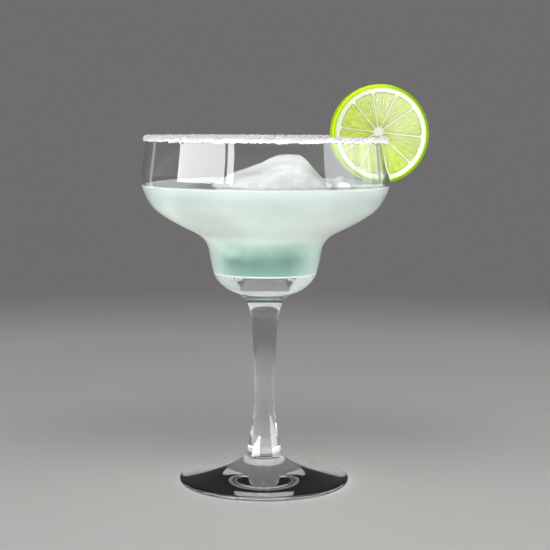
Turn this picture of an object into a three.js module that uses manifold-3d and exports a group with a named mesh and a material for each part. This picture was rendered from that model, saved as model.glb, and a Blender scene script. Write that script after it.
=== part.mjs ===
// A margarita cocktail: a stemmed coupette glass with a wide bowl over a narrow well, a pale cloudy drink,
// a lump of ice that stands out of it with two chips beside it, a crust of salt round the rim, and a lime
// wheel slit to its core and pushed down over the rim.
// Millimetres, +Z up, origin at the centre of the foot's underside. The wheel hangs on the +X side.
import * as THREE from "three";
import { mergeVertices } from "three/addons/utils/BufferGeometryUtils.js";
import Module from "manifold-3d";

const wasm = await Module();
wasm.setup();

// Driving dimensions of the glass: r is a radius and z a height.
const foot = { r: 39.8, edge: 1.1, underside: 0 };
const stem = {
  baseR: 8.55, baseZ: 13.4, waistR: 4.65, waistZ: 43, upperR: 6.1, upperZ: 76, topR: 12.4, topZ: 88.7,
};
const well = {
  r: 23.65, z: 97.7, neckR: 26.2, neckZ: 109, wall: 2,
  sideR: 22.1, sideZ: 99.5, dishR: 20.9, dishZ: 98.6, floorZ: 95.2,
};
const shoulder = { innerR: 33.4, innerZ: 117.4, outerR: 51.9, outerZ: 128.6, wall: 1.75 };
const belly = { r: 57.1, z: 141.2, wall: 1.5 };
const rim = { r: 55.1, z: 159.6, wall: 1.2 };
const roundSteps = 44;

// The drink and what floats in it.
const gap = 0.3;
const drinkLevel = 139;
const ice = { x: 2.9, y: -12, halfX: 27.2, halfY: 25, above: 14, below: 12, waist: 0.08 };
const chips = [
  { name: "ice_chip_near", x: 35, y: -18, size: [3.6, 3, 2.4], turn: 0.4 },
  { name: "ice_chip_far", x: 35.5, y: 22, size: [4.2, 3.4, 3], turn: 1.3 },
];

// The salt crust and the lime wheel.
const salt = { halfWidth: 1.55, rise: 0.85, drop: 1.15, bump: 0.32, wander: 0.9, steps: 132 };
const lime = {
  r: 23.15, thick: 7, bevel: 0.5, fleshR: 19.5, fleshShift: 0.1, recess: 0.4,
  coreU: -1.2, coreV: 0.8, coreR: 2.2, membrane: 0.6,
  membraneAngles: [64, 99, 131, 173, 208, 244, 280, 317.5, 354.5, 394.5],
  slit: 2.4, azimuth: 15, yaw: 8, centreR: 55.1, centreZ: 162.6,
};

const degrees = Math.PI / 180;

// Colours and finishes.
const clearGlass = new THREE.MeshStandardMaterial({
  color: 0xe9f2f0, roughness: 0.03, metalness: 0, transparent: true, opacity: 0.3,
});
const cloudyDrink = new THREE.MeshStandardMaterial({ color: 0xcfe0d2, roughness: 0.2, metalness: 0 });
const frostedIce = new THREE.MeshStandardMaterial({ color: 0xe6ebeb, roughness: 0.35, metalness: 0 });
const saltWhite = new THREE.MeshStandardMaterial({ color: 0xf4f2f4, roughness: 0.7, metalness: 0 });
const limeGreen = new THREE.MeshStandardMaterial({ color: 0xb4d64a, roughness: 0.4, metalness: 0 });

// A closed three.js geometry as a solid that can be joined and cut, and a solid as a geometry again.
function solidOf(geometry) {
  const bare = geometry.index ? geometry.toNonIndexed() : geometry.clone();
  bare.deleteAttribute("normal");
  bare.deleteAttribute("uv");
  const merged = mergeVertices(bare, 1e-3);
  return new wasm.Manifold(
    new wasm.Mesh({
      numProp: 3,
      vertProperties: merged.attributes.position.array,
      triVerts: new Uint32Array(merged.index.array),
    }),
  );
}

function geometryOf(solid) {
  const mesh = solid.getMesh();
  const geometry = new THREE.BufferGeometry();
  geometry.setAttribute("position", new THREE.BufferAttribute(mesh.vertProperties, 3));
  geometry.setIndex(new THREE.BufferAttribute(mesh.triVerts, 1));
  geometry.computeVertexNormals();
  return geometry;
}

// A closed outline of (radius, height) points turned about the Z axis.
function turned(points, steps = roundSteps) {
  return new THREE.LatheGeometry(points, steps).rotateX(Math.PI / 2);
}

function namedMesh(name, geometry, material) {
  const mesh = new THREE.Mesh(geometry, material);
  mesh.name = name;
  return mesh;
}

// A repeatable random number from 0 to 1.
function randomFrom(seed) {
  let state = seed;
  return () => {
    state = (state * 1664525 + 1013904223) % 4294967296;
    return state / 4294967296;
  };
}

// Points along a run of cubic curves: each step gives two handles, an end point and how finely it is cut.
function curvePoints(start, curves) {
  const points = [new THREE.Vector2(...start)];
  let from = points[0];
  for (const [handleA, handleB, end, cuts] of curves) {
    const to = new THREE.Vector2(...end);
    const handles = [handleA, handleB].map(([x, y]) => new THREE.Vector2(x, y));
    const curve = new THREE.CubicBezierCurve(from, ...handles, to);
    points.push(...curve.getPoints(cuts).slice(1));
    from = to;
  }
  return points;
}

// The outside of the glass, from the foot's edge up to the rim.
function outsideOfGlass() {
  const arc = 0.55 * foot.edge;
  const edgeZ = foot.underside + foot.edge;
  return curvePoints([foot.r - foot.edge, foot.underside], [
    // Rounded edge of the foot.
    [[foot.r - arc * 0.8, foot.underside], [foot.r, edgeZ - arc], [foot.r, edgeZ], 2],
    [[foot.r, edgeZ + arc], [foot.r - arc, 2 * foot.edge], [foot.r - foot.edge, 2.1 * foot.edge], 2],
    // Top of the foot, a shallow cone that sweeps up into the stem.
    [[22, 4.5], [10.1, 7.6], [stem.baseR, stem.baseZ], 5],
    // Stem: narrowest low down, widening to a flare under the bowl.
    [[7.4, 17.5], [stem.waistR, 28.5], [stem.waistR, stem.waistZ], 3],
    [[stem.waistR, 55], [5.6, 67.5], [stem.upperR, stem.upperZ], 2],
    [[6.55, 81], [8, 85.2], [stem.topR, stem.topZ], 4],
    // The narrow well: round bottom, then nearly straight sides up to the neck.
    [[18.2, 90.2], [22.3, 94], [well.r, well.z], 4],
    [[24.6, 100.4], [25.8, 105.6], [well.neckR, well.neckZ], 2],
    // Neck, shoulder and belly of the wide bowl.
    [[26.9, 112.3], [28.6, 115], [shoulder.innerR, shoulder.innerZ], 4],
    [[38.6, 119.9], [47.6, 124.1], [shoulder.outerR, shoulder.outerZ], 2],
    [[54.3, 131.2], [belly.r, 136.6], [belly.r, belly.z], 4],
    // Side that leans in a little to the rim.
    [[belly.r, 146], [55.5, 153.5], [rim.r, rim.z], 3],
  ]);
}

// The inside of the glass, from the rim down to the middle of the well's floor, clear of the wall by inset.
function insideOfGlass(inset = 0) {
  const rimInside = rim.r - rim.wall - inset;
  const bellyInside = belly.r - belly.wall - inset;
  const neckInside = well.neckR - well.wall - inset;
  const lean = 0.7 * (shoulder.wall + inset);
  const sideR = well.sideR - inset;
  const raised = 1.1 * inset;
  const lip = shoulder.innerR - 0.8 - 0.43 * inset;
  const lipZ = shoulder.innerZ + 1.6 + 0.9 * inset;
  return curvePoints([rimInside, rim.z], [
    [[rimInside + 0.4, 153.5], [bellyInside, 146], [bellyInside, belly.z], 3],
    [
      [bellyInside, 137], [53 - 0.7 * inset, 132.4 + 0.7 * inset],
      [shoulder.outerR - lean, shoulder.outerZ + lean], 4,
    ],
    [[46.4 - 0.5 * inset, 125.5 + 0.8 * inset], [37.8 - 0.4 * inset, 121.5 + 0.9 * inset], [lip, lipZ], 2],
    [[27.5 - 0.8 * inset, 116.5 + 0.6 * inset], [neckInside + 0.7, 113], [neckInside, well.neckZ], 4],
    [[neckInside - 0.3, 107], [sideR + 0.5, 101.8], [sideR, well.sideZ + 0.3 * inset], 1],
    [[sideR - 0.1, 99 + 0.6 * inset], [sideR - 0.4, 98.7 + inset], [well.dishR - inset, well.dishZ + raised], 2],
    [[14, 98.2 + raised], [9, well.floorZ + raised], [0, well.floorZ + raised], 3],
  ]);
}

// Glass: foot, stem and bowl in one piece, open at the top.
function makeGlass() {
  const outside = outsideOfGlass();
  const inside = insideOfGlass();
  const halfWall = rim.wall / 2;
  const middle = rim.r - halfWall;
  const top = rim.z + halfWall;
  const bulge = 0.75 * halfWall;
  const lip = curvePoints([rim.r, rim.z], [
    [[rim.r, rim.z + bulge], [middle + bulge, top], [middle, top], 2],
    [[middle - bulge, top], [rim.r - rim.wall, rim.z + bulge], [rim.r - rim.wall, rim.z], 2],
  ]);
  const outline = [new THREE.Vector2(0, foot.underside), ...outside, ...lip.slice(1, -1), ...inside];
  return geometryOf(solidOf(turned(outline)));
}

// Height of the ice's ridge along X, as a share of its height: a long slope on the left, a steep one on the
// right.
const ridge = new THREE.SplineCurve(
  [
    [-1, 0], [-0.73, 0.31], [-0.2, 0.69], [0.1, 0.95], [0.32, 1],
    [0.5, 0.94], [0.7, 0.54], [0.87, 0.15], [1, 0],
  ].map(([across, height]) => new THREE.Vector2(across, height)),
);

// The ridge's height at across, found by halving along the curve.
function ridgeAt(across) {
  let low = 0;
  let high = 1;
  for (let k = 0; k < 24; k++) {
    const middle = (low + high) / 2;
    if (ridge.getPoint(middle).x < across) low = middle;
    else high = middle;
  }
  return ridge.getPoint(low).y;
}

// A lump of ice: a ball stretched to its half sizes, raised to the ridge above the drink, rounded below it,
// and melted a little unevenly all over.
function makeIce(grow = 0) {
  const ball = mergeVertices(bareBall(1, 6), 1e-4);
  const at = ball.attributes.position;
  for (let i = 0; i < at.count; i++) {
    const x = at.getX(i);
    const y = at.getY(i);
    const z = at.getZ(i);
    const side = Math.sqrt(Math.max(1 - x * x, ice.waist));
    const melt = 1 + 0.03 * Math.sin(5 * x + 2) * Math.cos(6 * y) + 0.025 * Math.sin(9 * y + 4 * z);
    const up = z > 0 ? (z / side) * ice.above * ridgeAt(x) : z * ice.below;
    at.setXYZ(
      i,
      ice.x + x * (ice.halfX * melt + grow),
      ice.y + y * (ice.halfY * melt + grow),
      drinkLevel + up * melt + z * grow,
    );
  }
  return ball;
}

function bareBall(radius, cuts) {
  const ball = new THREE.IcosahedronGeometry(radius, cuts);
  ball.deleteAttribute("normal");
  ball.deleteAttribute("uv");
  return ball;
}

// A small chip of ice with broken corners, floating with its top just out of the drink.
function makeChip(chip, grow = 0) {
  const ball = mergeVertices(bareBall(1, 1), 1e-4);
  const at = ball.attributes.position;
  const random = randomFrom(Math.round(chip.turn * 100));
  for (let i = 0; i < at.count; i++) {
    const rough = 0.8 + 0.3 * random();
    at.setXYZ(
      i,
      at.getX(i) * (chip.size[0] * rough + grow),
      at.getY(i) * (chip.size[1] * rough + grow),
      at.getZ(i) * (chip.size[2] * rough + grow),
    );
  }
  return ball.rotateZ(chip.turn).translate(chip.x, chip.y, drinkLevel - 0.2);
}

// Drink: fills the glass to its level, cut clear of the ice.
function makeDrink() {
  const inside = insideOfGlass(gap);
  const below = inside.filter((point) => point.y < drinkLevel);
  const above = inside[inside.indexOf(below[0]) - 1];
  const share = (drinkLevel - below[0].y) / (above.y - below[0].y);
  const edge = new THREE.Vector2(THREE.MathUtils.lerp(below[0].x, above.x, share), drinkLevel);
  const outline = [...below.reverse(), edge, new THREE.Vector2(0, drinkLevel)];
  let drink = solidOf(turned(outline)).subtract(solidOf(makeIce(gap)));
  for (const chip of chips) drink = drink.subtract(solidOf(makeChip(chip, gap)));
  return geometryOf(drink);
}

// Salt: a crust that caps the rim, its outside roughened as by grains, its inside clear of the glass.
function makeSalt() {
  const middle = rim.r - rim.wall / 2;
  const top = rim.z + rim.wall / 2;
  const clear = rim.wall / 2 + gap;
  const foldZ = rim.z - salt.drop;
  const wide = salt.halfWidth;
  const outline = [
    [clear, foldZ], [0.95 * wide, foldZ], [wide, rim.z - 0.4], [0.8 * wide, top + 0.3],
    [0, top + salt.rise + gap], [-0.8 * wide, top + 0.3], [-wide, rim.z - 0.4], [-0.95 * wide, foldZ],
    [-clear, foldZ], [-clear, rim.z + 0.35], [-clear / 2, top + gap], [clear / 2, top + gap],
    [clear, rim.z + 0.35], [clear, foldZ],
  ].map(([across, z]) => new THREE.Vector2(middle + across, z));
  const crust = mergeVertices(crossedRing(outline, salt.steps), 1e-3);
  const at = crust.attributes.position;
  const random = randomFrom(7);
  for (let i = 0; i < at.count; i++) {
    const radius = Math.hypot(at.getX(i), at.getY(i));
    const out = radius - middle;
    const up = at.getZ(i) - rim.z;
    const onCrust = Math.abs(out) > clear + 0.2 || up > rim.wall / 2 + gap + 0.2;
    if (!onCrust) continue;
    const turn = Math.atan2(at.getY(i), at.getX(i)) + ((random() - 0.5) * salt.wander) / middle;
    const sideways = Math.abs(out) > 0.3 ? (2 * random() - 0.7) * salt.bump * Math.sign(out) : 0;
    const upward = (2 * random() - 1) * salt.bump * (up > 0 ? 1 : 1.4);
    const reach = radius + sideways;
    at.setXYZ(i, reach * Math.cos(turn), reach * Math.sin(turn), at.getZ(i) + upward);
  }
  return crust;
}

// A turned ring whose four-sided cells are split by diagonals that cross alternately, so that grains on it
// don't line up into a twist.
function crossedRing(points, steps) {
  const ring = turned(points, steps);
  ring.deleteAttribute("normal");
  ring.deleteAttribute("uv");
  const corners = [];
  for (let i = 0; i < steps; i++) {
    for (let j = 0; j < points.length - 1; j++) {
      const a = j + i * points.length;
      const b = a + points.length;
      if ((i + j) % 2) corners.push(a, b, a + 1, b + 1, a + 1, b);
      else corners.push(a, b, b + 1, a, b + 1, a + 1);
    }
  }
  ring.setIndex(corners);
  return ring;
}

// One juice segment of the wheel's face as an outline: a wedge between two membranes with rounded corners.
function segmentOutline(from, to) {
  const inner = lime.coreR + 1.3;
  const middle = (from + to) / 2;
  const point = (angle, radius, sideways) => {
    const reach = radius === lime.fleshR ? fleshReach(angle) : radius;
    return new THREE.Vector2(
      lime.coreU + reach * Math.cos(angle) - sideways * Math.sin(angle),
      lime.coreV + reach * Math.sin(angle) + sideways * Math.cos(angle),
    );
  };
  const half = lime.membrane / 2;
  const corner = 1.6;
  const start = point(from, lime.fleshR, half);
  const end = point(to, lime.fleshR, -half);
  const tip = point(middle, inner, 0);
  const shape = new THREE.Shape();
  const towards = (a, b, distance) => a.clone().add(b.clone().sub(a).setLength(distance));
  const startIn = towards(start, tip, corner);
  const endIn = towards(end, tip, corner);
  shape.moveTo(tip.x, tip.y);
  shape.lineTo(startIn.x, startIn.y);
  const arc = [0.12, 0.5, 0.88].map((t) => point(from + (to - from) * t, lime.fleshR, 0));
  shape.quadraticCurveTo(start.x, start.y, arc[0].x, arc[0].y);
  shape.lineTo(arc[1].x, arc[1].y);
  shape.lineTo(arc[2].x, arc[2].y);
  shape.quadraticCurveTo(end.x, end.y, endIn.x, endIn.y);
  return shape;
}

// Distance from the off-centre core to the edge of the flesh, in the direction of angle.
function fleshReach(angle) {
  const offU = lime.fleshShift - lime.coreU;
  const offV = -lime.coreV;
  const along = offU * Math.cos(angle) + offV * Math.sin(angle);
  const across = offU * Math.sin(angle) - offV * Math.cos(angle);
  return along + Math.sqrt(lime.fleshR ** 2 - across ** 2);
}

// Lime wheel in its own plane: u to the right, v up, its thickness along Z about 0.
function makeWheel() {
  const round = new THREE.Shape();
  round.absarc(0, 0, lime.r - lime.bevel, 0, 2 * Math.PI);
  const disc = new THREE.ExtrudeGeometry(round, {
    depth: lime.thick - 2 * lime.bevel, bevelThickness: lime.bevel, bevelSize: lime.bevel, bevelSegments: 1,
    curveSegments: 48,
  }).translate(0, 0, lime.bevel - lime.thick / 2);
  let wheel = solidOf(disc);
  const angles = lime.membraneAngles;
  angles.forEach((angle, k) => {
    const next = k + 1 < angles.length ? angles[k + 1] : angles[0] + 360;
    const pocket = new THREE.ExtrudeGeometry(segmentOutline(angle * degrees, next * degrees), {
      depth: lime.recess + 1, bevelEnabled: false, curveSegments: 3,
    });
    for (const face of [lime.thick / 2 - lime.recess, -lime.thick / 2 - 1]) {
      wheel = wheel.subtract(solidOf(pocket.clone().translate(0, 0, face)));
    }
  });
  return wheel;
}

// The wheel stands over the rim in a nearly radial plane.
function limePlace() {
  const turn = lime.azimuth * degrees;
  return new THREE.Matrix4()
    .makeTranslation(lime.centreR * Math.cos(turn), lime.centreR * Math.sin(turn), lime.centreZ)
    .multiply(new THREE.Matrix4().makeRotationZ(lime.yaw * degrees))
    .multiply(new THREE.Matrix4().makeRotationX(Math.PI / 2));
}

// The slit, a slot in the wheel's plane from its core out through the rind, along the wall of the glass.
function makeSlit() {
  const topV = rim.z + rim.wall / 2 + salt.rise + 2 * gap + salt.bump - lime.centreZ;
  const lean = (belly.r - rim.r) / (rim.z - belly.z);
  const wallU = (v) => rim.r - rim.wall / 2 + lean * (rim.z - lime.centreZ - v) - lime.centreR;
  const low = -lime.r - 2;
  const slot = new THREE.Shape();
  slot.moveTo(wallU(topV) - lime.slit / 2, topV);
  slot.lineTo(wallU(low) - lime.slit / 2, low);
  slot.lineTo(wallU(low) + lime.slit / 2, low);
  slot.lineTo(wallU(topV) + lime.slit / 2, topV);
  const depth = lime.thick + 4;
  return new THREE.ExtrudeGeometry(slot, { depth, bevelEnabled: false }).translate(0, 0, -depth / 2);
}

// The room that the salted rim and the wall under it need inside the slit.
function makeRimRoom() {
  const room = 2 * gap;
  const middle = rim.r - rim.wall / 2;
  const wide = salt.halfWidth + salt.bump + room;
  const top = rim.z + rim.wall / 2 + salt.rise + salt.bump + room;
  const fold = rim.z - salt.drop - 1.4 * salt.bump - room;
  const outline = [
    [middle - wide, fold], [middle + wide, fold], [middle + wide, top - 1], [middle + wide - 1, top],
    [middle - wide + 1, top], [middle - wide, top - 1], [middle - wide, fold],
  ].map(([r, z]) => new THREE.Vector2(r, z));
  const wall = [
    [belly.r - belly.wall - room, belly.z - 8], [belly.r + room, belly.z - 8], [belly.r + room, belly.z],
    [rim.r + room, rim.z], [rim.r - rim.wall - room, rim.z], [belly.r - belly.wall - room, belly.z],
    [belly.r - belly.wall - room, belly.z - 8],
  ].map(([r, z]) => new THREE.Vector2(r, z));
  return solidOf(turned(outline, 72)).add(solidOf(turned(wall, 72)));
}

function makeLime() {
  const place = limePlace();
  const wheel = makeWheel().subtract(solidOf(makeSlit()));
  const placed = solidOf(geometryOf(wheel).applyMatrix4(place)).subtract(makeRimRoom());
  return geometryOf(placed);
}

const margarita = new THREE.Group();
margarita.add(namedMesh("glass", makeGlass(), clearGlass));
margarita.add(namedMesh("drink", makeDrink(), cloudyDrink));
margarita.add(namedMesh("ice_lump", makeIce(), frostedIce));
for (const chip of chips) margarita.add(namedMesh(chip.name, makeChip(chip), frostedIce));
margarita.add(namedMesh("salt_crust", makeSalt(), saltWhite));
margarita.add(namedMesh("lime_wheel", makeLime(), limeGreen));

export default margarita;
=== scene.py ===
import math
import random

import bmesh
import bpy
import numpy as np
from mathutils import Matrix, Vector, noise


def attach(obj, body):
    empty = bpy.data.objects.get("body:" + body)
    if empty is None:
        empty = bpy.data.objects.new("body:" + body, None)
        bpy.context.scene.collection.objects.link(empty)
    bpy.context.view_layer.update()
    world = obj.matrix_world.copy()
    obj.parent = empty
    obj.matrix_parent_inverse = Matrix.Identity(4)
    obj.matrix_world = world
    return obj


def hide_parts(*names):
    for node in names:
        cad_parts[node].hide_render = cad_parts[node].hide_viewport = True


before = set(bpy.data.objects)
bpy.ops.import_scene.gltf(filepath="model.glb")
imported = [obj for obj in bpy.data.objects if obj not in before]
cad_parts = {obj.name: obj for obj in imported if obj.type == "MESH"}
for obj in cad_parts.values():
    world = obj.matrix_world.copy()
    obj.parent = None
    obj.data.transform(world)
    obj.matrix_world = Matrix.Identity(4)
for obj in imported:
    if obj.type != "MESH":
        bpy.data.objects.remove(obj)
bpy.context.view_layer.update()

MM = 0.001
TO_METRES = Matrix.Scale(MM, 4)

# Camera, fitted to the rim, the drink's level and the foot
CAMERA_PLACE = (0.004605, -0.6313, 0.16909)
CAMERA_PITCH = 6.496
CAMERA_ROLL = 0.367
CAMERA_LENS = 89.44

# The glass: r is a radius and z a height, in millimetres
FOOT_R = 39.8
FOOT_EDGE = 1.1
STEM_BASE = (8.55, 13.4)
STEM_WAIST = (4.65, 43)
STEM_UPPER = (6.1, 76)
STEM_TOP = (12.4, 88.7)
WELL = (23.65, 97.7)
NECK = (26.2, 109)
SHOULDER_INNER = (33.4, 117.4)
SHOULDER_OUTER = (51.9, 128.6)
BELLY = (57.1, 141.2)
RIM = (55.1, 159.6)
RIM_WALL = 1.2
BELLY_WALL = 1.5
SHOULDER_WALL = 1.75
WELL_WALL = 2
WELL_SIDE = (22.1, 99.5)
WELL_DISH = (20.9, 98.6)
WELL_FLOOR = 95.2
WET_R = 20.4
WET_GAP = 0.3
GLASS_IOR = 1.5
DRINK_IOR = 1.34
WET_IOR = 1.119
GLASS_SHADE = (0.93, 0.95, 0.945, 1)
GLASS_STEPS = 160

# The drink and its ice. A relief is a list of how fine and how deep its bumps are
DRINK_LEVEL = 139
DRINK_RELIEF = [(0.09, 0.12), (0.3, 0.05)]
INTO_WALL = 0.15
MENISCUS = 0.3
MENISCUS_WIDTH = 3
STILL_REACH = (32, 40)
PALE_CLOUD = (-15, -19.5, 110.8)
ICE = {"x": 2.9, "y": -12, "half_x": 27.2, "half_y": 25, "above": 14, "below": 12, "waist": 0.08}
ICE_RIDGE = [
    (-1, 0), (-0.73, 0.31), (-0.2, 0.69), (0.1, 0.95), (0.32, 1),
    (0.5, 0.94), (0.7, 0.54), (0.87, 0.15), (1, 0),
]
ICE_RELIEF = [(0.12, 0.55), (0.33, 0.28), (0.62, 0.24), (1.3, 0.15), (2.9, 0.05)]
ICE_CHIPS = [
    ("ice_chip_near", (35, -18), (3.6, 3, 2.4), 0.4),
    ("ice_chip_far", (35.5, 22), (4.2, 3.4, 3), 1.3),
]

# The salt: it reaches down both sides of the rim by an angle, in radians from its crest
SALT_HALF_WIDTH = 1.35
SALT_TOP = 161.2
SALT_HEART = (RIM[0] - RIM_WALL / 2, RIM[1] + 0.45)
SALT_REACH = 2.15
SALT_RAGGED = 0.45
SALT_BED_DEPTH = 0.28
SALT_GRAINS = 9500
SALT_GRAIN_SIZES = (0.32, 0.74)

# The lime wheel, with angles in degrees
LIME_R = 23.15
LIME_THICK = 7
LIME_ZEST = 1.2
LIME_FLESH_R = 19.5
LIME_FLESH_SHIFT = 0.1
LIME_CORE = (-1.2, 0.8)
LIME_CORE_R = 2.2
LIME_MEMBRANE = 0.45
LIME_MEMBRANE_ANGLES = [64, 99, 131, 173, 208, 244, 280, 317.5, 354.5, 394.5]
LIME_SEGMENT_DEPTH = 0.42
LIME_ROOM_INSET = 0.05
SACS_PER_RADIAN = 19
SACS_PER_MM = 0.24
SAC_WALL = 0.42
SAC_CROWN = 0.3
LIME_SLIT = 2.4
LIME_AZIMUTH = 15
LIME_YAW = 8
LIME_CENTRE_R = 55.1
LIME_CENTRE_Z = 162.6

# Floor and light, in metres
FLOOR_R = 0.8
FLOOR_DROP = 0.0003
LIGHT_AIM = (0, 0, 0.14)


# Node helpers
def add_node(tree, kind, inputs=None, **settings):
    """A node with its settings, whose inputs are numbers, colours or other nodes' outputs."""
    made = tree.nodes.new(kind)
    for name, value in settings.items():
        setattr(made, name, value)
    for name, value in (inputs or {}).items():
        if isinstance(value, bpy.types.NodeSocket):
            tree.links.new(value, made.inputs[name])
        else:
            made.inputs[name].default_value = value
    return made


def new_material(name, sockets):
    """A material whose Principled shader has these constant values on its own sockets."""
    material = bpy.data.materials.new(name)
    material.use_nodes = True
    tree = material.node_tree
    shader = tree.nodes["Principled BSDF"]
    for socket, value in sockets.items():
        shader.inputs[socket].default_value = value
    return material, tree, shader


def object_coordinates(tree):
    return add_node(tree, "ShaderNodeTexCoord").outputs["Object"]


def noise_of(tree, vector, scale, detail=4, roughness=0.5):
    inputs = {"Vector": vector, "Scale": scale, "Detail": detail, "Roughness": roughness}
    return add_node(tree, "ShaderNodeTexNoise", inputs).outputs["Fac"]


def voronoi_of(tree, vector, scale, output="Distance"):
    return add_node(tree, "ShaderNodeTexVoronoi", {"Vector": vector, "Scale": scale}).outputs[output]


def maths(tree, operation, first, second=0.0):
    return add_node(tree, "ShaderNodeMath", {0: first, 1: second}, operation=operation).outputs[0]


def vector_maths(tree, operation, first, second=(0, 0, 0), output="Vector"):
    made = add_node(tree, "ShaderNodeVectorMath", {0: first, 1: second}, operation=operation)
    return made.outputs[output]


def mapped(tree, value, low, high, to_low=0.0, to_high=1.0):
    """value from low to high, smoothly turned into a number from to_low to to_high and held there."""
    inputs = {"Value": value, "From Min": low, "From Max": high, "To Min": to_low, "To Max": to_high}
    made = add_node(tree, "ShaderNodeMapRange", inputs, interpolation_type="SMOOTHSTEP")
    return made.outputs["Result"]


def mixed(tree, factor, first, second):
    return add_node(tree, "ShaderNodeMix", {0: factor, 6: first, 7: second}, data_type="RGBA").outputs[2]


def bumped(tree, shader, height, strength, distance):
    inputs = {"Height": height, "Strength": strength, "Distance": distance}
    bump = add_node(tree, "ShaderNodeBump", inputs)
    tree.links.new(bump.outputs["Normal"], shader.inputs["Normal"])


def colour(red, green, blue):
    """A colour given as it looks on screen, 0 to 255, as the linear colour that a shader takes."""
    parts = [part / 255 for part in (red, green, blue)]
    linear = [part / 12.92 if part <= 0.04045 else ((part + 0.055) / 1.055) ** 2.4 for part in parts]
    return (*linear, 1.0)


def separated(tree, vector):
    return add_node(tree, "ShaderNodeSeparateXYZ", {"Vector": vector}).outputs


# Mesh helpers
def curve_points(start, curves):
    """Points along a run of cubic curves, each given as two handles, an end and how finely it is cut."""
    points = [start]
    for handle_a, handle_b, end, cuts in curves:
        begin = points[-1]
        for k in range(1, cuts + 1):
            t = k / cuts
            shares = ((1 - t) ** 3, 3 * t * (1 - t) ** 2, 3 * t * t * (1 - t), t ** 3)
            corners = (begin, handle_a, handle_b, end)
            points.append(tuple(sum(s * c[axis] for s, c in zip(shares, corners)) for axis in (0, 1)))
    return points


def spun(points, steps):
    """A bmesh of an outline of (radius, height) points, turned all the way round the Z axis."""
    bm = bmesh.new()
    verts = [bm.verts.new((r, 0, z)) for r, z in points]
    edges = [bm.edges.new(pair) for pair in zip(verts, verts[1:])]
    bmesh.ops.spin(
        bm, geom=verts + edges, cent=(0, 0, 0), axis=(0, 0, 1), angle=2 * math.pi, steps=steps,
        use_merge=True,
    )
    bmesh.ops.remove_doubles(bm, verts=bm.verts, dist=0.0005)
    bmesh.ops.recalc_face_normals(bm, faces=bm.faces)
    return bm


def finished(bm, name, material, replaces=(), place=None):
    """The piece's object, with its place in its mesh, riding on the part."""
    bmesh.ops.transform(bm, matrix=TO_METRES @ (place or Matrix.Identity(4)), verts=bm.verts)
    mesh = bpy.data.meshes.new(name)
    bm.to_mesh(mesh)
    bm.free()
    return piece_of(mesh, name, material, replaces)


def piece_of(mesh, name, material, replaces=()):
    """A smooth-shaded object that rides on the part and in place of the named nodes."""
    mesh.shade_smooth()
    mesh.materials.append(material)
    piece = bpy.data.objects.new(name, mesh)
    bpy.context.scene.collection.objects.link(piece)
    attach(piece, "root")
    if replaces:
        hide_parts(*replaces)
    return piece


def relief(point, bumps):
    return sum(depth * noise.noise(point * fineness) for fineness, depth in bumps)


def cut_away(piece, cutter):
    """Takes the cutter's shape out of the piece for good."""
    modifier = piece.modifiers.new("cut", "BOOLEAN")
    modifier.operation = "DIFFERENCE"
    modifier.solver = "EXACT"
    modifier.object = cutter
    shape = piece.evaluated_get(bpy.context.evaluated_depsgraph_get())
    cut = bpy.data.meshes.new_from_object(shape)
    piece.modifiers.clear()
    piece.data = cut


# Materials
def let_light_through(material, tree, shader):
    """Lamps' light goes straight through the glass, while the eye still sees it bend."""
    path = add_node(tree, "ShaderNodeLightPath").outputs["Is Shadow Ray"]
    through = add_node(tree, "ShaderNodeBsdfTransparent", {"Color": GLASS_SHADE})
    both = add_node(tree, "ShaderNodeMixShader", {0: path, 1: shader.outputs[0], 2: through.outputs[0]})
    tree.links.new(both.outputs[0], tree.nodes["Material Output"].inputs["Surface"])
    return material


def clear_glass():
    """Clear glass with faint smears."""
    sockets = {
        "Base Color": (0.965, 0.985, 0.98, 1), "Transmission Weight": 1, "IOR": GLASS_IOR,
        "Roughness": 0.01,
    }
    material, tree, shader = new_material("clear_glass", sockets)
    smears = noise_of(tree, object_coordinates(tree), 45, 3, 0.6)
    roughness = mapped(tree, smears, 0.45, 0.8, 0.004, 0.05)
    tree.links.new(roughness, shader.inputs["Roughness"])
    return let_light_through(material, tree, shader)


def wet_glass():
    """Glass where the drink wets it: its index is that of glass over that of the drink."""
    sockets = {"Base Color": (1, 1, 1, 1), "Transmission Weight": 1, "IOR": WET_IOR, "Roughness": 0.01}
    return let_light_through(*new_material("wet_glass", sockets))


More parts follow.
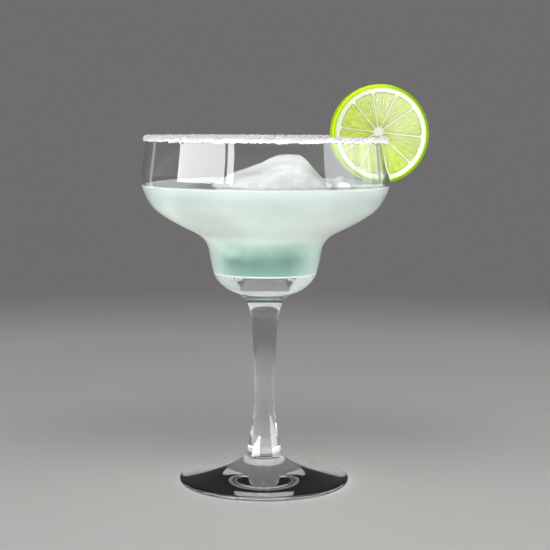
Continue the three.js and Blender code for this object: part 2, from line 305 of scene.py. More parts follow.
def drink_colour(tree, place, across, height):
    """Green-white, paler down in the bowl, with one pale cloud in the well and a teal middle that is partly
    the settled liquid's tint and partly painted shade, whitened towards the sides with painted light.
    """
    waves = maths(tree, "MULTIPLY", noise_of(tree, place, 55, 3), 0.008)
    uneven = maths(tree, "SUBTRACT", waves, 0.004)
    level = maths(tree, "ADD", height, uneven)
    side = maths(tree, "ADD", maths(tree, "ABSOLUTE", across), uneven)
    # Painted shade in part: the well's liquid darkens to a mottled teal, lighter near the well's top and
    # bottom.
    in_well = mapped(tree, level, 0.1115, 0.1165, 1, 0)
    high_in_bowl = mapped(tree, level, 0.122, 0.136)
    high_in_well = mapped(tree, level, 0.1050, 0.1130)
    low_in_well = mapped(tree, level, 0.0995, 0.1055, 0.4, 0)
    # Painted light: the teal whitens towards the drink's sides.
    painted_side_light = mapped(tree, side, 0.011, 0.025, 0, 0.75)
    mottle = mapped(tree, noise_of(tree, place, 130, 4, 0.55), 0.25, 0.8)
    pale = mixed(tree, high_in_bowl, colour(220, 227, 222), colour(190, 200, 195))
    teal = mixed(tree, mottle, colour(118, 153, 141), colour(138, 168, 158))
    teal = mixed(tree, high_in_well, teal, colour(180, 208, 196))
    teal = mixed(tree, low_in_well, teal, colour(150, 184, 172))
    teal = mixed(tree, painted_side_light, teal, colour(216, 230, 223))
    from_cloud = vector_maths(tree, "SUBTRACT", place, tuple(part * MM for part in PALE_CLOUD))
    from_cloud = vector_maths(tree, "MULTIPLY", from_cloud, (1, 1, 1.7))
    reach = maths(tree, "ADD", vector_maths(tree, "LENGTH", from_cloud, output="Value"), uneven)
    cloud = mapped(tree, reach, 0.001, 0.0085, 0.75, 0)
    return mixed(tree, cloud, mixed(tree, in_well, pale, teal), colour(203, 219, 214))


def stillness(tree, place, height):
    """How smooth the surface lies: 1 on top of the drink round the ice, and 0 elsewhere."""
    from_ice = vector_maths(tree, "SUBTRACT", place, (ICE["x"] * MM, ICE["y"] * MM, 0))
    shares = (1 / (STILL_REACH[0] * MM), 1 / (STILL_REACH[1] * MM), 0)
    spread = vector_maths(tree, "LENGTH", vector_maths(tree, "MULTIPLY", from_ice, shares), output="Value")
    on_top = mapped(tree, height, (DRINK_LEVEL - 0.7) * MM, (DRINK_LEVEL - 0.4) * MM)
    return maths(tree, "MULTIPLY", mapped(tree, spread, 1, 1.25, 1, 0), on_top)


def cloudy_drink():
    """Pale green-white liquid, teal in the well, partly from the settled liquid's tint and partly painted
    shade.
    """
    sockets = {
        "Roughness": 0.3, "IOR": DRINK_IOR, "Subsurface Weight": 1, "Subsurface Scale": 0.02,
        "Subsurface Radius": (1, 1, 1),
    }
    material, tree, shader = new_material("cloudy_drink", sockets)
    place = object_coordinates(tree)
    axes = separated(tree, place)
    tree.links.new(drink_colour(tree, place, axes["X"], axes["Z"]), shader.inputs["Base Color"])
    smoother = maths(tree, "MULTIPLY", stillness(tree, place, axes["Z"]), 0.22)
    tree.links.new(maths(tree, "SUBTRACT", 0.3, smoother), shader.inputs["Roughness"])
    return material


def drink_on_floor():
    """The drink's underside, white as if lit from below, partly its own pale colour and partly painted
    light, and without a shine of its own, because it wets the glass.
    """
    # Painted light in part: a near-white colour for the underside, standing in for light from below.
    sockets = {"Base Color": colour(244, 250, 247), "Roughness": 1, "Specular IOR Level": 0}
    return new_material("drink_on_floor", sockets)[0]


def frosted_ice():
    """Wet white ice, cloudy inside, with painted light making it whiter where it stands out of the drink."""
    sockets = {
        "Roughness": 0.35, "IOR": 1.31, "Subsurface Weight": 0.55, "Subsurface Scale": 0.002,
        "Subsurface Radius": (1, 1, 1), "Coat Weight": 0.15, "Coat Roughness": 0.15, "Coat IOR": 1.33,
    }
    material, tree, shader = new_material("frosted_ice", sockets)
    place = object_coordinates(tree)
    cloud = noise_of(tree, place, 120, 5, 0.6)
    grain = noise_of(tree, place, 900, 3, 0.6)
    white = mixed(tree, mapped(tree, cloud, 0.35, 0.7), colour(208, 209, 210), colour(226, 226, 227))
    height = separated(tree, place)["Z"]
    # Painted light: the ice whitens towards its top.
    high = mapped(tree, height, (DRINK_LEVEL + 5.5) * MM, (DRINK_LEVEL + 11.5) * MM)
    white = mixed(tree, high, white, colour(253, 253, 254))
    tree.links.new(white, shader.inputs["Base Color"])
    tree.links.new(mapped(tree, cloud, 0.3, 0.7, 0.28, 0.5), shader.inputs["Roughness"])
    bumped(tree, shader, maths(tree, "ADD", cloud, maths(tree, "MULTIPLY", grain, 0.2)), 0.6, 0.0007)
    return material


def coarse_salt():
    """White crystals, each a little brighter or greyer than the next."""
    sockets = {
        "Roughness": 0.3, "IOR": 1.54, "Subsurface Weight": 0.6, "Subsurface Scale": 0.0007,
        "Subsurface Radius": (1, 1, 1),
    }
    material, tree, shader = new_material("coarse_salt", sockets)
    place = object_coordinates(tree)
    each = voronoi_of(tree, place, 1300, "Color")
    light = separated(tree, each)["X"]
    white = mixed(tree, light, colour(238, 237, 240), colour(253, 252, 252))
    tree.links.new(white, shader.inputs["Base Color"])
    tree.links.new(mapped(tree, light, 0, 1, 0.18, 0.5), shader.inputs["Roughness"])
    return material


def lime_frame(tree, place):
    """Across and up in the wheel's own plane, in metres from its centre."""
    turn = lime_place().to_3x3().transposed()
    moved = vector_maths(tree, "SUBTRACT", place, tuple(lime_place().translation * MM))
    return [vector_maths(tree, "DOT_PRODUCT", moved, tuple(turn[k]), "Value") for k in (0, 1)]


def from_centre(tree, across, up):
    squares = maths(tree, "ADD", maths(tree, "POWER", across, 2), maths(tree, "POWER", up, 2))
    return maths(tree, "SQRT", squares)


def lime_zest():
    """Waxy green skin with pores, with painted light making it yellower and lighter at its upper left and
    lighter where it turns to the left.
    """
    sockets = {"Roughness": 0.5, "Specular IOR Level": 0.12}
    material, tree, shader = new_material("lime_zest", sockets)
    place = object_coordinates(tree)
    across, up = lime_frame(tree, place)
    # Painted light: the skin lightens from dark green at the lower right to yellow-green at the upper left.
    painted_light_slope = maths(tree, "ADD", maths(tree, "MULTIPLY", up, 0.6), maths(tree, "MULTIPLY", across, -0.8))
    painted_light_slope = maths(tree, "ADD", painted_light_slope, maths(tree, "MULTIPLY", noise_of(tree, place, 90, 3), 0.012))
    skin = mixed(tree, mapped(tree, painted_light_slope, -0.004, 0.032), colour(108, 144, 8), colour(176, 224, 4))
    # Painted light: a yellow wash over the upper left of the skin.
    painted_upper_left_light = maths(tree, "ADD", maths(tree, "MULTIPLY", across, -0.7), up)
    skin = mixed(tree, mapped(tree, painted_upper_left_light, 0.014, 0.025, 0, 0.6), skin, colour(214, 222, 6))
    # Painted light: the rind's outer edge is lighter where it turns to the left.
    outer = mapped(tree, from_centre(tree, across, up), (LIME_R - 0.85) * MM, (LIME_R - 0.15) * MM)
    painted_left_light = mapped(tree, across, -0.016, 0.004, 0.85, 0)
    skin = mixed(tree, maths(tree, "MULTIPLY", outer, painted_left_light), skin, colour(212, 255, 6))
    spots = mapped(tree, voronoi_of(tree, place, 950), 0.05, 0.3)
    skin = mixed(tree, spots, mixed(tree, 0.5, skin, colour(66, 98, 4)), skin)
    tree.links.new(skin, shader.inputs["Base Color"])
    bumped(tree, shader, spots, 0.4, 0.00025)
    return material


def lime_pith():
    """Matt white pith and membranes, greener next to the skin."""
    sockets = {
        "Roughness": 0.55, "Subsurface Weight": 0.4, "Subsurface Scale": 0.0015,
        "Subsurface Radius": (1, 1, 0.6),
    }
    material, tree, shader = new_material("lime_pith", sockets)
    place = object_coordinates(tree)
    across, up = lime_frame(tree, place)
    patch = noise_of(tree, place, 400, 4, 0.6)
    white = mixed(tree, patch, colour(211, 219, 190), colour(219, 224, 207))
    edge = mapped(tree, from_centre(tree, across, up), (LIME_R - 2.55) * MM, (LIME_R - 1.15) * MM)
    tree.links.new(mixed(tree, edge, white, colour(168, 208, 40)), shader.inputs["Base Color"])
    bumped(tree, shader, patch, 0.25, 0.0002)
    return material


def lime_flesh():
    """Wet cut juice sacs with pale walls, with a painted highlight at the upper right and painted shade at
    the lower right.
    """
    sockets = {
        "Roughness": 0.16, "IOR": 1.36, "Subsurface Weight": 0.75, "Subsurface Scale": 0.0025,
        "Subsurface Radius": (0.9, 1, 0.35), "Coat Weight": 0.6, "Coat Roughness": 0.06, "Coat IOR": 1.33,
    }
    material, tree, shader = new_material("lime_flesh", sockets)
    place = object_coordinates(tree)
    wall = add_node(tree, "ShaderNodeAttribute", attribute_name="sac_wall").outputs["Fac"]
    shade = add_node(tree, "ShaderNodeAttribute", attribute_name="sac_shade").outputs["Fac"]
    fine = noise_of(tree, place, 1500, 3, 0.6)
    across, up = lime_frame(tree, place)
    # Painted highlight: a pale wash over the flesh towards the upper right.
    away = maths(tree, "ADD", across, maths(tree, "MULTIPLY", up, 0.8))
    away = maths(tree, "ADD", away, maths(tree, "MULTIPLY", noise_of(tree, place, 160, 2), 0.008))
    painted_upper_right_highlight = mapped(tree, away, -0.002, 0.016, 0, 0.42)
    deep = mixed(tree, shade, colour(166, 192, 8), colour(184, 204, 34))
    pale = mixed(tree, fine, colour(188, 202, 84), colour(214, 221, 150))
    cut = mixed(tree, wall, deep, pale)
    cut = mixed(tree, painted_upper_right_highlight, cut, colour(190, 198, 180))
    # Painted shade: the flesh darkens towards the lower right.
    low = mapped(tree, maths(tree, "SUBTRACT", across, up), 0.004, 0.024, 0, 0.4)
    tree.links.new(mixed(tree, low, cut, colour(120, 150, 40)), shader.inputs["Base Color"])
    tree.links.new(mapped(tree, fine, 0.3, 0.7, 0.1, 0.28), shader.inputs["Roughness"])
    bumped(tree, shader, fine, 0.15, 0.0002)
    return material


# Glass and drink
def outside_of_glass():
    """The outside from the edge of the foot's underside up to the rim."""
    arc = 0.55 * FOOT_EDGE
    heel = FOOT_R - FOOT_EDGE
    return curve_points((heel, 0), [
        ((FOOT_R - arc * 0.8, 0), (FOOT_R, FOOT_EDGE - arc), (FOOT_R, FOOT_EDGE), 6),
        ((FOOT_R, FOOT_EDGE + arc), (FOOT_R - arc, 2 * FOOT_EDGE), (heel, 2.1 * FOOT_EDGE), 6),
        ((22, 4.5), (10.1, 7.6), STEM_BASE, 28),
        ((7.4, 17.5), (STEM_WAIST[0], 28.5), STEM_WAIST, 16),
        ((STEM_WAIST[0], 55), (5.6, 67.5), STEM_UPPER, 12),
        ((6.55, 81), (8, 85.2), STEM_TOP, 18),
        ((18.2, 90.2), (22.3, 94), WELL, 20),
        ((24.6, 100.4), (25.8, 105.6), NECK, 10),
        ((26.9, 112.3), (28.6, 115), SHOULDER_INNER, 14),
        ((38.6, 119.9), (47.6, 124.1), SHOULDER_OUTER, 14),
        ((54.3, 131.2), (BELLY[0], 136.6), BELLY, 16),
        ((BELLY[0], 146), (55.5, 153.5), RIM, 14),
    ])


def inside_of_glass(inset=0.0):
    """The inside from the rim down to the middle of the well's floor, moved inwards by inset."""
    rim_r = RIM[0] - RIM_WALL - inset
    belly_r = BELLY[0] - BELLY_WALL - inset
    neck_r = NECK[0] - WELL_WALL - inset
    side_r = WELL_SIDE[0] - inset
    lean = 0.7 * (SHOULDER_WALL + inset)
    raised = 1.1 * inset
    dish = (WELL_DISH[0] - inset, WELL_DISH[1] + raised)
    lip = (SHOULDER_INNER[0] - 0.8 - 0.43 * inset, SHOULDER_INNER[1] + 1.6 + 0.9 * inset)
    shoulder = (SHOULDER_OUTER[0] - lean, SHOULDER_OUTER[1] + lean)
    return curve_points((rim_r, RIM[1]), [
        ((rim_r + 0.4, 153.5), (belly_r, 146), (belly_r, BELLY[1]), 14),
        ((belly_r, 137), (53 - 0.7 * inset, 132.4 + 0.7 * inset), shoulder, 16),
        ((46.4 - 0.5 * inset, 125.5 + 0.8 * inset), (37.8 - 0.4 * inset, 121.5 + 0.9 * inset), lip, 14),
        ((27.5 - 0.8 * inset, 116.5 + 0.6 * inset), (neck_r + 0.7, 113), (neck_r, NECK[1]), 14),
        ((neck_r - 0.3, 107), (side_r + 0.5, 101.8), (side_r, WELL_SIDE[1] + 0.3 * inset), 10),
        ((side_r - 0.1, 99 + 0.6 * inset), (side_r - 0.4, 98.7 + inset), dish, 6),
        ((14, 98.2 + raised), (9, WELL_FLOOR + raised), (0, WELL_FLOOR + raised), 24),
    ])


def make_glass():
    """Foot, stem, well and bowl in one outline, with the wetted floor of the well in its own material."""
    half = RIM_WALL / 2
    bulge = 0.75 * half
    middle, top = RIM[0] - half, RIM[1] + half
    lip = curve_points(RIM, [
        ((RIM[0], RIM[1] + bulge), (middle + bulge, top), (middle, top), 4),
        ((middle - bulge, top), (RIM[0] - RIM_WALL, RIM[1] + bulge), (RIM[0] - RIM_WALL, RIM[1]), 4),
    ])
    outline = [(0, 0), *outside_of_glass(), *lip[1:-1], *inside_of_glass()]
    bm = spun(outline, GLASS_STEPS)
    for face in bm.faces:
        at = face.calc_center_median()
        in_well = math.hypot(at.x, at.y) < WET_R and STEM_TOP[1] < at.z < WELL_SIDE[1]
        if in_well and face.normal.z > 0.3:
            face.material_index = 1
    glass = finished(bm, "glass_body", clear_glass(), ["glass"])
    glass.data.materials.append(wet_glass())


def make_drink():
    """Drink that reaches just into the wall, climbs it a little at its edge and ripples on top.

    It stands a hair above the wetted floor of the well, which the glass there makes up for.
    """
    wall = []
    for r, z in inside_of_glass(-INTO_WALL):
        if z < WELL_SIDE[1]:
            z += WET_GAP * max(0, min(1, (WELL_DISH[0] - r) / (WELL_DISH[0] - WET_R)))
        if z < DRINK_LEVEL - 0.3:
            wall.append((r, z))
    edge_r = BELLY[0] - BELLY_WALL + INTO_WALL
    edge = [(edge_r, DRINK_LEVEL + MENISCUS * 0.4), (edge_r - 0.05, DRINK_LEVEL + MENISCUS)]
    for k in range(1, 10):
        edge.append((edge_r - MENISCUS_WIDTH * k / 10, DRINK_LEVEL + MENISCUS * math.exp(-0.55 * k)))
    rings = 34
    surface = [((edge_r - MENISCUS_WIDTH) * (1 - k / rings), DRINK_LEVEL) for k in range(rings + 1)]
    bm = spun([*reversed(wall), *edge, *surface], GLASS_STEPS)
    for vert in bm.verts:
        spread = math.hypot(vert.co.x, vert.co.y)
        if vert.co.z > DRINK_LEVEL - 0.1 and spread < edge_r - 1:
            vert.co.z += relief(vert.co, DRINK_RELIEF)
    for face in bm.faces:
        if face.calc_center_median().z < WELL_DISH[1] + WET_GAP:
            face.material_index = 1
    drink = finished(bm, "drink_body", cloudy_drink(), ["drink"])
    drink.data.materials.append(drink_on_floor())


# Ice
def between(before, start, end, after, t):
    """A smooth curve from start to end as t goes from 0 to 1, led by the points before and after them."""
    slope = end - before
    bend = 2 * before - 5 * start + 4 * end - after
    twist = 3 * start - before - 3 * end + after
    return 0.5 * (2 * start + slope * t + bend * t * t + twist * t ** 3)


def ridge_line():
    """The ice's ridge as two lists, across and height, smoothed through its named points."""
    ends = [ICE_RIDGE[0], *ICE_RIDGE, ICE_RIDGE[-1]]
    line = []
    for points in zip(ends, ends[1:], ends[2:], ends[3:]):
        for k in range(12):
            line.append(tuple(between(*parts, k / 12) for parts in zip(*points)))
    line.append(ICE_RIDGE[-1])
    return zip(*line)


def make_ice_lump(material):
    """A ball stretched to the lump's sizes, raised to its ridge, and melted unevenly all over."""
    bm = bmesh.new()
    bmesh.ops.create_icosphere(bm, subdivisions=7, radius=1)
    across, height = ridge_line()
    for vert in bm.verts:
        x, y, z = vert.co
        side = math.sqrt(max(1 - x * x, ICE["waist"]))
        melt = 1 + 0.03 * math.sin(5 * x + 2) * math.cos(6 * y) + 0.025 * math.sin(9 * y + 4 * z)
        up = z / side * ICE["above"] * np.interp(x, across, height) if z > 0 else z * ICE["below"]
        point = Vector((
            ICE["x"] + x * ICE["half_x"] * melt,
            ICE["y"] + y * ICE["half_y"] * melt,
            DRINK_LEVEL + up * melt,
        ))
        vert.co = point + vert.normal * relief(point, ICE_RELIEF)
    bmesh.ops.recalc_face_normals(bm, faces=bm.faces)
    finished(bm, "ice_lump_body", material, ["ice_lump"])


def make_ice_chip(name, at, size, turn, material):
    """A broken chip: a ball split by a few flat breaks, with its edges melted round."""
    bm = bmesh.new()
    bmesh.ops.create_icosphere(bm, subdivisions=4, radius=1)
    breaks = random.Random(name)
    for k in range(9):
        lean = Vector((breaks.uniform(-1, 1), breaks.uniform(-1, 1), breaks.uniform(-1, 1))).normalized()
        flat = breaks.uniform(0.72, 0.9)
        for vert in bm.verts:
            over = vert.co.dot(lean) - flat
            if over > 0:
                vert.co -= lean * over
    bmesh.ops.smooth_vert(bm, verts=bm.verts, factor=0.5, use_axis_x=True, use_axis_y=True, use_axis_z=True)
    for vert in bm.verts:
        vert.co = Vector(c * s for c, s in zip(vert.co, size)) * (1 + 0.05 * noise.noise(vert.co * 3))
    place = Matrix.Translation((*at, DRINK_LEVEL - 0.2)) @ Matrix.Rotation(turn, 4, "Z")
    finished(bm, name + "_body", material, [name], place)


# Salt
def crust_point(turn, lean, out=0.0):
    """A point on the crust at an angle round the rim and a lean from its crest, raised by out."""
    quarter = math.pi / 2
    if abs(lean) < quarter:
        up = (SALT_TOP - SALT_HEART[1] + out) * math.cos(lean)
    else:
        up = -1.3 * (abs(lean) - quarter)
    r = SALT_HEART[0] + (SALT_HALF_WIDTH + out) * math.sin(max(-quarter, min(quarter, lean)))
    return Vector((r * math.cos(turn), r * math.sin(turn), SALT_HEART[1] + up))


def crust_reach(turn, side):
    """How far down its side the crust reaches at an angle round the rim: the edge is ragged."""
    around = Vector((math.cos(turn), math.sin(turn), 0.4 * side))
    ragged = noise.noise(around * 9) + 0.6 * noise.noise(around * 31)
    return SALT_REACH + SALT_RAGGED * ragged


def make_salt_bed(material):
    """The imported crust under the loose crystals, a ring of round section pressed into the crust's form."""
    steps = 720
    sides = 14
    ring_r = SALT_HEART[0]
    ring_z = RIM[1] + 0.3
    section_r = 0.9
    leans = [2 * math.pi * k / sides for k in range(sides + 1)]
    bm = spun([(ring_r + section_r * math.sin(a), ring_z + section_r * math.cos(a)) for a in leans], steps)
    for vert in bm.verts:
        turn = math.atan2(vert.co.y, vert.co.x)
        outward = math.hypot(vert.co.x, vert.co.y) - RIM[0] + RIM_WALL / 2
        lean = math.atan2(outward, vert.co.z - ring_z)
        reach = crust_reach(turn, math.copysign(1, lean))
        held = max(-reach, min(reach, lean))
        vert.co = crust_point(turn, held, 0.1 * noise.noise(vert.co * 2.2) - SALT_BED_DEPTH)
    bmesh.ops.recalc_face_normals(bm, faces=bm.faces)
    finished(bm, "salt_bed", material, ["salt_crust"])


def crystal():
    """The cube that every crystal starts as, as corner points and triangles."""
    bm = bmesh.new()
    bmesh.ops.create_cube(bm, size=1)
    bmesh.ops.triangulate(bm, faces=bm.faces)
    corners = np.array([vert.co for vert in bm.verts])
    faces = np.array([[vert.index for vert in face.verts] for face in bm.faces])
    bm.free()
    return corners, faces


def make_salt_grains(material):
    """Thousands of crystals with their corners pushed about, scattered over the crust in one mesh."""
    draw = np.random.default_rng(11)
    corners, faces = crystal()
    smallest, largest = SALT_GRAIN_SIZES
    furthest = SALT_REACH + SALT_RAGGED
    points = []
    sizes = []
    while len(points) < SALT_GRAINS:
        turn = draw.uniform(0, 2 * math.pi)
        lean = draw.uniform(-furthest, furthest)
        if abs(lean) > crust_reach(turn, math.copysign(1, lean)) + draw.uniform(0, 0.12):
            continue
        size = smallest + (largest - smallest) * draw.random() ** 2.2
        point = crust_point(turn, lean, draw.uniform(-0.12, 0.12))
        if in_lime(point):
            continue
        points.append(point)
        sizes.append(size)
    count = len(points)
    shapes = corners[None] * (1 + 0.35 * draw.uniform(-1, 1, (count, len(corners), 3)))
    stretch = draw.uniform(0.7, 1.2, (count, 1, 3)) * np.array(sizes)[:, None, None]
    turns = np.array([
        Matrix.Rotation(draw.uniform(0, 6.28), 3, Vector(draw.normal(size=3))) for _ in range(count)
    ])
    placed = np.einsum("nij,nkj->nki", turns, shapes * stretch) + np.array(points)[:, None]
    all_faces = faces[None] + (np.arange(count) * len(corners))[:, None, None]
    mesh = bpy.data.meshes.new("salt_grains")
    mesh.from_pydata((placed.reshape(-1, 3) * MM).tolist(), [], all_faces.reshape(-1, 3).tolist())
    mesh.update()
    piece_of(mesh, "salt_grains", material)


# Lime wheel, in its own plane: u to the right, v up, its thickness along w
def lime_place():
    """From the wheel's own plane to its place on the rim."""
    turn = math.radians(LIME_AZIMUTH)
    centre = (LIME_CENTRE_R * math.cos(turn), LIME_CENTRE_R * math.sin(turn), LIME_CENTRE_Z)
    yaw = Matrix.Rotation(math.radians(LIME_YAW), 4, "Z")
    return Matrix.Translation(centre) @ yaw @ Matrix.Rotation(math.pi / 2, 4, "X")


LIME_INVERSE = lime_place().inverted()


def in_lime(point):
    """True where the wheel is, apart from its slit."""
    u, v, w = LIME_INVERSE @ point
    return abs(w) < LIME_THICK / 2 + 0.3 and math.hypot(u, v) < LIME_R and v > -1.2


def slit_outline():
    """The slit along the wall, wider at its top to take the salted rim."""
    lean = (BELLY[0] - RIM[0]) / (RIM[1] - BELLY[1])

    def wall(v):
        return RIM[0] - RIM_WALL / 2 + lean * (RIM[1] - LIME_CENTRE_Z - v) - LIME_CENTRE_R

    top = SALT_TOP + 0.3 - LIME_CENTRE_Z
    fold = RIM[1] - 1.9 - LIME_CENTRE_Z
    low = -LIME_R - 2
    salt = SALT_HALF_WIDTH + 0.6
    half = LIME_SLIT / 2
    return [
        (wall(top) - salt * 0.6, top), (wall(top) - salt, top - 0.8), (wall(fold) - salt, fold),
        (wall(fold) - half, fold - 0.7), (wall(low) - half - 0.3, low), (wall(low) + half + 0.3, low),
        (wall(fold) + half, fold - 0.7), (wall(fold) + salt, fold), (wall(top) + salt, top - 0.8),
        (wall(top) + salt * 0.6, top),
    ]


def wheel_cutter(name, outline):
    """An outline in the wheel's plane as a solid right through the wheel, to cut with. It isn't kept."""
    bm = bmesh.new()
    face = bm.faces.new([bm.verts.new((u, v, -LIME_THICK)) for u, v in outline])
    made = bmesh.ops.extrude_face_region(bm, geom=[face])
    top = [part for part in made["geom"] if isinstance(part, bmesh.types.BMVert)]
    bmesh.ops.translate(bm, verts=top, vec=(0, 0, 2 * LIME_THICK))
    bmesh.ops.recalc_face_normals(bm, faces=bm.faces)
    bmesh.ops.transform(bm, matrix=TO_METRES @ lime_place(), verts=bm.verts)
    mesh = bpy.data.meshes.new(name)
    bm.to_mesh(mesh)
    bm.free()
    cutter = bpy.data.objects.new(name, mesh)
    bpy.context.scene.collection.objects.link(cutter)
    return cutter


def flesh_reach(angle):
    """Distance from the off-centre core to the edge of the flesh, in the direction of angle."""
    off_u = LIME_FLESH_SHIFT - LIME_CORE[0]
    off_v = -LIME_CORE[1]
    along = off_u * math.cos(angle) + off_v * math.sin(angle)
    across = off_u * math.sin(angle) - off_v * math.cos(angle)
    return along + math.sqrt(LIME_FLESH_R ** 2 - across ** 2)


def segment_angles(k):
    """The directions of the membranes on both sides of a segment."""
    angles = [*LIME_MEMBRANE_ANGLES, LIME_MEMBRANE_ANGLES[0] + 360]
    return math.radians(angles[k]), math.radians(angles[k + 1])


def in_segment(begin, end, s, t, spare=0.0):
    """A point of a segment: s runs from one membrane to the other, -1 to 1, and t from core to pith."""
    angle = (begin + end) / 2 + (end - begin) / 2 * s
    inner = LIME_CORE_R + 0.7 * abs(s) ** 3 - spare
    outer = flesh_reach(angle) - 0.9 * abs(s) ** 16 + spare
    r = inner + (outer - inner) * t
    aside = -(LIME_MEMBRANE / 2 - spare) * s
    return (
        LIME_CORE[0] + r * math.cos(angle) - aside * math.sin(angle),
        LIME_CORE[1] + r * math.sin(angle) + aside * math.cos(angle),
    )


def juice_sac(u, v, angle, seed):
    """How far a point is into its juice sac, 0 at the sac's wall and 1 inside, and the sac's own shade."""
    r = math.hypot(u - LIME_CORE[0], v - LIME_CORE[1])
    sway = 0.5 * noise.noise(Vector((u * 0.25, v * 0.25, seed)))
    at = Vector((angle * SACS_PER_RADIAN + sway, r * SACS_PER_MM + sway * 0.5, seed * 7.3))
    near, spots = noise.voronoi(at)
    inside = min(1.0, max(0.0, (near[1] - near[0]) / SAC_WALL))
    shade = noise.cell(spots[0] * 11.7)
    return inside * inside * (3 - 2 * inside), shade


def make_segment(k, material):
    """One juice segment through the wheel's thickness, both faces crowned with cut juice sacs."""
    cuts = 52
    begin, end = segment_angles(k)
    bm = bmesh.new()
    wall_layer = bm.verts.layers.float.new("sac_wall")
    shade_layer = bm.verts.layers.float.new("sac_shade")
    bmesh.ops.create_grid(bm, x_segments=cuts, y_segments=cuts, size=1)
    back = bmesh.ops.duplicate(bm, geom=bm.faces[:])["geom"]
    back_faces = [part for part in back if isinstance(part, bmesh.types.BMFace)]
    back_verts = {part for part in back if isinstance(part, bmesh.types.BMVert)}
    for vert in bm.verts:
        s, t = vert.co.x, (vert.co.y + 1) / 2
        behind = vert in back_verts
        u, v = in_segment(begin, end, s, t)
        angle = math.atan2(v - LIME_CORE[1], u - LIME_CORE[0]) % (2 * math.pi)
        inside, shade = juice_sac(u, v, angle, k + (20 if behind else 0))
        edge = min(1.0, 6 * min(1 - abs(s), 2 * t, 2 * (1 - t)))
        height = LIME_THICK / 2 - LIME_SEGMENT_DEPTH + (SAC_CROWN * inside + 0.1) * edge
        vert.co = (u, v, -height if behind else height)
        vert[wall_layer] = 1 - inside
        vert[shade_layer] = 0.35 + 0.65 * shade if inside > 0 else 0.5
    bmesh.ops.reverse_faces(bm, faces=back_faces)
    bmesh.ops.bridge_loops(bm, edges=[edge for edge in bm.edges if edge.is_boundary])
    bmesh.ops.recalc_face_normals(bm, faces=bm.faces)
    name = f"lime_segment_{k + 1:02d}"
    return finished(bm, name, material, place=lime_place())


def make_pith(material, cutters):
    """Pith, core and membranes: a disc with each segment's room cut through it."""
    half = LIME_THICK / 2 - 0.08
    outer = LIME_R - LIME_ZEST + 0.05
    rings = 24
    face = [(outer * k / rings, half) for k in range(rings + 1)]
    side = [(outer, half * (1 - k / 4)) for k in range(1, 8)]
    outline = [*face, *side, *[(r, -z) for r, z in reversed(face)]]
    pith = finished(spun(outline, 180), "lime_pith", material, ["lime_wheel"], lime_place())
    for cutter in cutters:
        cut_away(pith, cutter)


def segment_room(k):
    """The outline of one segment's room, a little smaller than the segment so that no gap shows."""
    begin, end = segment_angles(k)
    side = [step / 10 for step in range(-10, 11)]
    outline = [in_segment(begin, end, s, 0, -LIME_ROOM_INSET) for s in side]
    outline += [in_segment(begin, end, 1, t / 8, -LIME_ROOM_INSET) for t in range(1, 8)]
    outline += [in_segment(begin, end, s, 1, -LIME_ROOM_INSET) for s in reversed(side)]
    outline += [in_segment(begin, end, -1, t / 8, -LIME_ROOM_INSET) for t in range(7, 0, -1)]
    return outline


def make_zest(material):
    """The skin, a ring round the pith with rounded, pitted edges."""
    half = LIME_THICK / 2
    inner = LIME_R - LIME_ZEST
    edge = [
        (inner, half - 0.05), (LIME_R - 0.7, half),
        (LIME_R - 0.35, half - 0.08), (LIME_R - 0.1, half - 0.25),
    ]
    side = [(LIME_R, half - 0.5 - (LIME_THICK - 1) * k / 10) for k in range(11)]
    outline = [*edge, *side, *[(r, -z) for r, z in reversed(edge)], edge[0]]
    bm = spun(outline, 300)
    for vert in bm.verts:
        spread = math.hypot(vert.co.x, vert.co.y)
        if spread > LIME_R - 0.4:
            vert.co.x *= 1 + 0.0035 * noise.noise(vert.co * 0.9)
            vert.co.y *= 1 + 0.0035 * noise.noise(vert.co * 0.9)
    return finished(bm, "lime_zest", material, place=lime_place())


def make_lime():
    """The whole wheel, with the slit cut through the skin, the pith and the segments that it meets."""
    flesh = lime_flesh()
    slit = wheel_cutter("slit", slit_outline())
    rooms = [wheel_cutter("segment_room", segment_room(k)) for k in range(len(LIME_MEMBRANE_ANGLES))]
    segments = [make_segment(k, flesh) for k in range(len(LIME_MEMBRANE_ANGLES))]
    make_pith(lime_pith(), [*rooms, slit])
    zest = make_zest(lime_zest())
    for piece in [zest, *segments[4:8]]:
        cut_away(piece, slit)
    for cutter in [slit, *rooms]:
        bpy.data.objects.remove(cutter)


# Floor, light and camera
def make_floor():
    """A plain pale floor that fades out at its edge."""
    material, tree, shader = new_material("pale_floor", {"Roughness": 0.7, "Specular IOR Level": 0.2})
    place = object_coordinates(tree)
    mottled = mixed(tree, noise_of(tree, place, 6, 3), colour(196, 194, 192), colour(204, 202, 200))
    tree.links.new(mottled, shader.inputs["Base Color"])
    spread = vector_maths(tree, "LENGTH", place, output="Value")
    tree.links.new(mapped(tree, spread, 0.42, 0.78, 1, 0), shader.inputs["Alpha"])
    bm = bmesh.new()
    bmesh.ops.create_circle(bm, cap_ends=True, segments=96, radius=FLOOR_R)
    bmesh.ops.translate(bm, verts=bm.verts, vec=(0, 0, -FLOOR_DROP))
    mesh = bpy.data.meshes.new("pale_floor")
    bm.to_mesh(mesh)
    bm.free()
    mesh.materials.append(material)
    floor = bpy.data.objects.new("pale_floor", mesh)
    bpy.context.scene.collection.objects.link(floor)


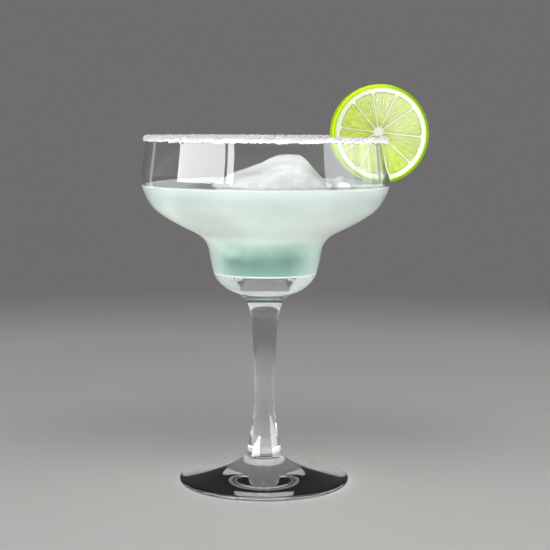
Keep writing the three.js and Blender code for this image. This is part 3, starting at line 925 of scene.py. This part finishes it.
def softbox(name, azimuth, elevation, distance, width, height, power, tint=(1, 1, 1), facing=None):
    """A soft lamp aimed at the bowl, or with its back turned to facing. Azimuth 0 is the camera's side."""
    a, e = math.radians(azimuth), math.radians(elevation)
    away = Vector((math.sin(a) * math.cos(e), -math.cos(a) * math.cos(e), math.sin(e)))
    lamp = bpy.data.lights.new(name, "AREA")
    lamp.shape = "RECTANGLE"
    lamp.size = width
    lamp.size_y = height
    lamp.energy = power
    lamp.color = tint
    holder = bpy.data.objects.new(name, lamp)
    holder.location = Vector(LIGHT_AIM) + away * distance
    holder.rotation_euler = Vector(facing or away).to_track_quat("Z", "Y").to_euler()
    holder.visible_camera = False
    bpy.context.scene.collection.objects.link(holder)
    return holder


def light_scene():
    """Two lamps for everything, fills that don't show in the glass, and panes that show only in it."""
    world = bpy.data.worlds.new("grey_surround")
    world.use_nodes = True
    world.node_tree.nodes["Background"].inputs["Color"].default_value = (0.16, 0.155, 0.155, 1)
    bpy.context.scene.world = world
    cool = (0.93, 0.94, 1)
    softbox("key", -22, 50, 1.1, 1.1, 0.7, 5.9)
    softbox("fill", 42, 42, 1.2, 0.9, 0.7, 5.5)
    fills = [
        softbox("front", -3, 2, 1.3, 1.9, 0.9, 10),
        softbox("floor_card", 5, -36, 0.23, 0.4, 0.2, 1.3, facing=(0, 0, -1)),
    ]
    panes = [
        softbox("window", -61, 8.5, 1.1, 0.98, 0.32, 14),
        softbox("window_strip", -31, 8.5, 1.1, 0.115, 0.32, 1.8),
        softbox("edge_left", -127, 4, 1.1, 0.12, 0.6, 0.3),
        softbox("edge_right", 100, 4, 1.1, 0.12, 0.6, 0.3),
        softbox("wall_near", 71.5, 6, 1.15, 0.66, 0.6, 3.5, cool),
        softbox("wall_middle", 83.5, 6, 1.15, 1.25, 0.6, 6.2, cool),
        softbox("wall_far", 95, 6, 1.15, 1.93, 0.6, 8, cool),
    ]
    for lamp in fills + panes:
        lamp.visible_transmission = False
    for lamp in fills:
        lamp.visible_glossy = False
    for lamp in panes:
        lamp.visible_diffuse = False
    bpy.context.scene.view_settings.view_transform = "Standard"


def make_camera():
    """The photo's own view."""
    lens = bpy.data.cameras.new("camera")
    lens.sensor_width = 36
    lens.lens = CAMERA_LENS
    camera = bpy.data.objects.new("camera", lens)
    tilt = Matrix.Rotation(math.radians(90 - CAMERA_PITCH), 4, "X")
    roll = Matrix.Rotation(math.radians(CAMERA_ROLL), 4, "Z")
    camera.matrix_world = Matrix.Translation(CAMERA_PLACE) @ tilt @ roll
    bpy.context.scene.collection.objects.link(camera)
    bpy.context.scene.camera = camera


ice = frosted_ice()
salt = coarse_salt()
make_glass()
make_drink()
make_ice_lump(ice)
for chip in ICE_CHIPS:
    make_ice_chip(*chip, ice)
make_salt_bed(salt)
make_salt_grains(salt)
make_lime()
make_floor()
light_scene()
make_camera()
